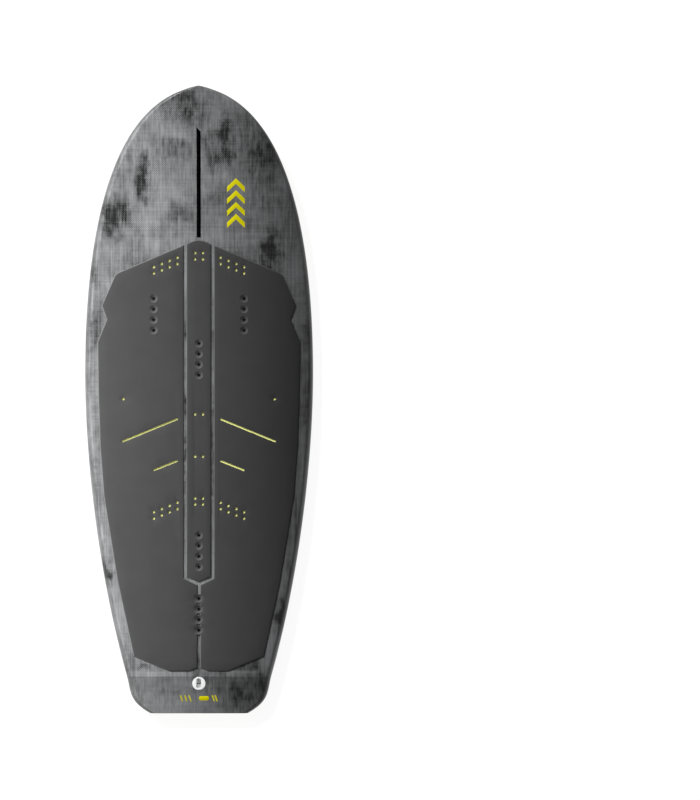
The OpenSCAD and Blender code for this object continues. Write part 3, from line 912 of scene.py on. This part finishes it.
def build_pads():
    """The three pads and the dishes of the rear inserts."""
    build_pad("left", ["front_left"])
    build_pad("right", ["front_right"])
    build_pad("centre", ["front_centre", "middle"])
    rear = joined("rear_dishes", [dish("rear_dish", c) for c in INSERTS["rear"]])
    finished(smooth(rear, 32), "board", "pad_upper", EVA)


# ---------------------------------------------------------------- marks

# Rim of a printed mark, in mm, as [inset, height above the laminate]
MARK_RIM = [(0.1, 0.16), (0, 0.1), (0, -0.2)]


def chevron(across, up, width, rise, thick):
    """A chevron that points to the nose, as [mm to the +X side, mm up from the tail]."""
    half = width / 2
    return [
        (across - half, up), (across, up + rise), (across + half, up),
        (across + half, up + thick), (across, up + rise + thick), (across - half, up + thick),
    ]


def pill(across, up, width, length, lean=0.0):
    """A round-ended bar, leaning by lean mm from its foot to its head."""
    r = width / 2
    straight = length / 2 - r
    points = []
    for k in range(24):
        a = 2 * math.pi * (k + 0.5) / 24
        end = straight if math.sin(a) > 0 else -straight
        y = end + r * math.sin(a)
        points.append((across + r * math.cos(a) + lean * y / length, up + y))
    return points


def bar(across, up, width, height):
    """A round-ended bar that lies across the board."""
    return [(across + (y - up), up + (x - across)) for x, y in pill(across, up, height, width)]


def disc(across, up, radius):
    """A round mark."""
    turn = np.linspace(0, 2 * math.pi, 41)[:-1]
    return [(across + radius * math.cos(a), up + radius * math.sin(a)) for a in turn]


def marks(name, shapes, surface, side, material, slot):
    """Thin printed marks, in one piece."""
    made = []
    for k, shape in enumerate(shapes):
        plan = np.array([(x * MM, TAIL_Y - s * MM) for x, s in shape])
        rim = (turned(plan, 1), millimetres(MARK_RIM))
        made.append(panel(f"{name}_{k}", surface, [rim], MARK_GRID, side))
    finished(smooth(joined(name, made)), "board", slot, material)


def build_marks():
    """Plain marks: chevrons near the nose, dashes and a bar on the tail, and more of both on the hull."""
    nose = [chevron(-88, 1150 + 28 * k, 42, 20, 13) for k in range(4)]
    marks("deck_mark", nose, deck_height, 1, DECAL_YELLOW, "pad_lower")
    foot = [pill(41 - 10 * k, 36, 3.2, 15, 5) for k in range(3)]
    foot += [bar(-12, 36, 24, 11), pill(-34, 36, 3.2, 15, 5), pill(-41, 36, 3.2, 15, 5)]
    marks("tail_mark", foot, deck_height, 1, DECAL_YELLOW, "pad_lower")
    large = [chevron(0, 1060 + 58 * k, 78, 40, 26) for k in range(4)]
    marks("hull_mark", large, hull_height, -1, DECAL_GREY, "deck_laminate")
    small = [pill(0, 820 - 22 * k, 4, 12, 3) for k in range(6)] + [disc(0, 609, 12)]
    marks("stripe_mark", small, hull_height, -1, DECAL_GREY, "deck_laminate")


# ---------------------------------------------------------------- other pieces

def build_fittings():
    """The leash plug and the nuts in the tracks."""
    cup = rounded_copy("leash_plug", "leash_cup", 0.7 * MM)
    finished(cup, "board", "plug_plastic", PLUG, "leash_cup")
    pin = rounded_copy("leash_pin", "leash_bar", 0.3 * MM)
    finished(pin, "board", "plug_bar", STEEL, "leash_bar")
    for nut in ("left_front_nut", "left_rear_nut", "right_front_nut", "right_rear_nut"):
        piece = rounded_copy(nut + "_rounded", nut, 0.5 * MM)
        finished(piece, nut, "nut_metal", NUT, nut)


CAD_MATERIALS = {
    "foam_core": FOAM,
    "stringer_web": WOOD,
    "track_block": BLOCK_FOAM,
    "left_track": TRACK,
    "right_track": TRACK,
    **{g + "_bushes": BLACK for g in INSERT_GROUPS},
    **{g + "_insert_block": BLOCK for g in INSERT_GROUPS},
}


def dress_cad_nodes():
    """Materials for the CAD nodes that stay as they are."""
    for node, material in CAD_MATERIALS.items():
        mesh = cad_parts[node].data
        mesh.materials.clear()
        mesh.materials.append(material)


# ---------------------------------------------------------------- studio

# The photograph's frame is 1.895 m long at the height of the board's rail, and the board's centre line is
# 0.358 m to the left of the frame's middle.
FRAME_LENGTH = 1.895
FRAME_LEVEL = 0.045
CAMERA_HEIGHT = 12.0
CAMERA_X = -0.358
SENSOR = 36.0

# The floor glows, so that it shows white and the board's shadow on it stays faint.
FLOOR_REACH = 40
FLOOR_LEVEL = -1 * MM
FLOOR_SHADE = 0.15
FLOOR_GLOW = 0.93


def build_camera(scene):
    """A camera straight above the board, with the nose at the top of the picture."""
    camera = bpy.data.objects.new("camera", bpy.data.cameras.new("camera"))
    camera.data.sensor_width = SENSOR
    camera.data.lens = SENSOR * (CAMERA_HEIGHT - FRAME_LEVEL) / FRAME_LENGTH
    camera.data.clip_end = 100
    camera.location = (CAMERA_X, 0, CAMERA_HEIGHT)
    camera.rotation_euler = (0, 0, math.pi)
    scene.collection.objects.link(camera)
    scene.camera = camera


def build_floor():
    """A plain pale floor."""
    corners = [(-1, -1), (1, -1), (1, 1), (-1, 1)]
    points = [(x * FLOOR_REACH, y * FLOOR_REACH, FLOOR_LEVEL) for x, y in corners]
    floor = new_piece("floor", points, [(0, 1, 2, 3)])
    backdrop = grained(
        "floor", (FLOOR_SHADE,) * 3, 30, 0.01, 0.01 * MM, Roughness=0.9, Specular_IOR_Level=0.1)
    shader = backdrop.node_tree.nodes["Principled BSDF"]
    shader.inputs["Emission Color"].default_value = rgb(1, 1, 1)
    shader.inputs["Emission Strength"].default_value = FLOOR_GLOW
    floor.data.materials.append(backdrop)


def soft_box(name, place, target, size, power):
    """A soft rectangular light at a place, turned to a target."""
    light = bpy.data.lights.new(name, "AREA")
    light.shape = "RECTANGLE"
    light.energy = power
    light.size, light.size_y = size
    lamp = bpy.data.objects.new(name, light)
    lamp.location = place
    lamp.rotation_euler = (Vector(target) - Vector(place)).to_track_quat("-Z", "Y").to_euler()
    bpy.context.scene.collection.objects.link(lamp)


def far_light(name, turn, height, spread, strength):
    """A soft light from far off. turn is its angle from the nose to the rider's left, height the one above
    the floor and spread its width, all in degrees."""
    light = bpy.data.lights.new(name, "SUN")
    light.energy = strength
    light.angle = math.radians(spread)
    lamp = bpy.data.objects.new(name, light)
    lamp.rotation_euler = (math.radians(90 - height), 0, math.radians(turn))
    bpy.context.scene.collection.objects.link(lamp)


def build_world(scene):
    """A white backdrop, which lights the board less than it shows, and least from straight above."""
    world = bpy.data.worlds.new("studio")
    world.use_nodes = True
    tree = world.node_tree
    background = tree.nodes["Background"]
    way = add(tree, "ShaderNodeTexCoord").outputs["Generated"]
    up = add(tree, "ShaderNodeSeparateXYZ", {0: way}).outputs[2]
    glow = remap(tree, up, 0.0, 0.9, 0.5, 0.03, "SMOOTHSTEP")
    seen = add(tree, "ShaderNodeLightPath").outputs["Is Camera Ray"]
    tree.links.new(remap(tree, seen, 0, 1, glow, 1.0), background.inputs["Strength"])
    background.inputs["Color"].default_value = rgb(1, 1, 1)
    scene.world = world


def build_studio():
    """The camera, the floor, a soft light from the front left, a weaker one from the left, and the backdrop
    round them."""
    scene = bpy.context.scene
    scene.view_settings.view_transform = "Standard"
    build_camera(scene)
    build_floor()
    soft_box("side", (1.15, 0.1, 0.95), (0, 0.1, 0), (0.4, 3.0), 13)
    far_light("key", 35, 38, 12, 3.75)
    build_world(scene)


build_studio()
build_laminates()
strip("deck_strip", "deck_stringer_cap", deck_height, 1)
strip("hull_strip", "hull_stringer_cap", hull_height, -1)
build_pads()
build_marks()
build_fittings()
dress_cad_nodes()
